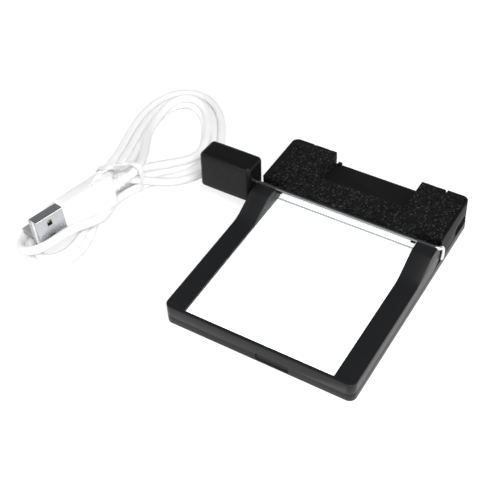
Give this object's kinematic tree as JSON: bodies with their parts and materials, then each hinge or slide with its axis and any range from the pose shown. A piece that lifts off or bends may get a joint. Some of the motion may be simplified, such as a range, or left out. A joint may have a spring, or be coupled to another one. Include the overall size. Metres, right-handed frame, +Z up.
{
  "type": "slide viewer",
  "caption": "Flat light panel for viewing film slides: hinged lid with a clear window and block grip, rear housing with a foam pad, and a tied power lead beside it.",
  "frame": {"origin": "middle of the resting face of the base, on the table", "axes": "+Z up from the table through the light panel, +Y from the front edge to the rear housing, +X to the side with the power socket"},
  "size_m": [0.1414, 0.1139, 0.0208],
  "materials": {
    "case": "fine satin moulding",
    "grip": "semi-gloss moulding",
    "foam": "open-cell foam, black",
    "window": "clear polished sheet",
    "white_sheet": "opal, even",
    "clear_guide": "clear cast sheet, dotted underside",
    "led_board": "white solder mask",
    "leds": "white body with a yellow phosphor face",
    "wires": "insulated wire",
    "board": "green solder mask on glass-fibre board",
    "board_parts": "moulded components",
    "bright_metal": "plated, fine rolled grain",
    "black_insert": "moulded",
    "tape": "double-sided tissue tape",
    "magnets": "nickel plated",
    "screws": "zinc plated, cross recess",
    "rod": "drawn wire, bright",
    "white_plastic": "satin moulding",
    "contacts": "gold flash",
    "lead": "smooth white sheath, satin",
    "tie": "thin white tie strip"
  },
  "bodies": {
    "base": {"base_tray": "case", "bottom_cover": "case", "cover_screws": "screws", "reflector_sheet": "white_sheet", "light_guide": "clear_guide", "diffuser": "white_sheet", "led_board": "led_board", "leds": "leds", "led_wires": "wires", "driver_board": "board", "driver_parts": "board_parts", "socket_shell": "bright_metal", "socket_tongue": "black_insert", "rear_housing": "case", "pad_tape": "tape", "foam_pad": "foam", "base_magnets": "magnets", "plug_shell": "bright_metal", "plug_insert": "white_plastic", "plug_contacts": "contacts", "plug_overmold": "white_plastic", "plug_relief": "white_plastic", "micro_shell": "bright_metal", "micro_insert": "black_insert", "micro_overmold": "white_plastic", "micro_relief": "white_plastic", "lead_hank": "lead", "lead_start": "lead", "lead_end": "lead", "lead_tie": "tie"},
    "lid": {"lid_frame": "case", "window_plate": "window", "lid_magnets": "magnets", "hinge_rod": "rod", "grip_block": "grip"}
  },
  "joints": [
    {"name": "lid_hinge", "type": "hinge", "parent": "base", "child": "lid", "pos_m": [0, 0.0175, 0.0123], "axis": [-1, 0, 0], "range_deg": [0, 105]}
  ]
}
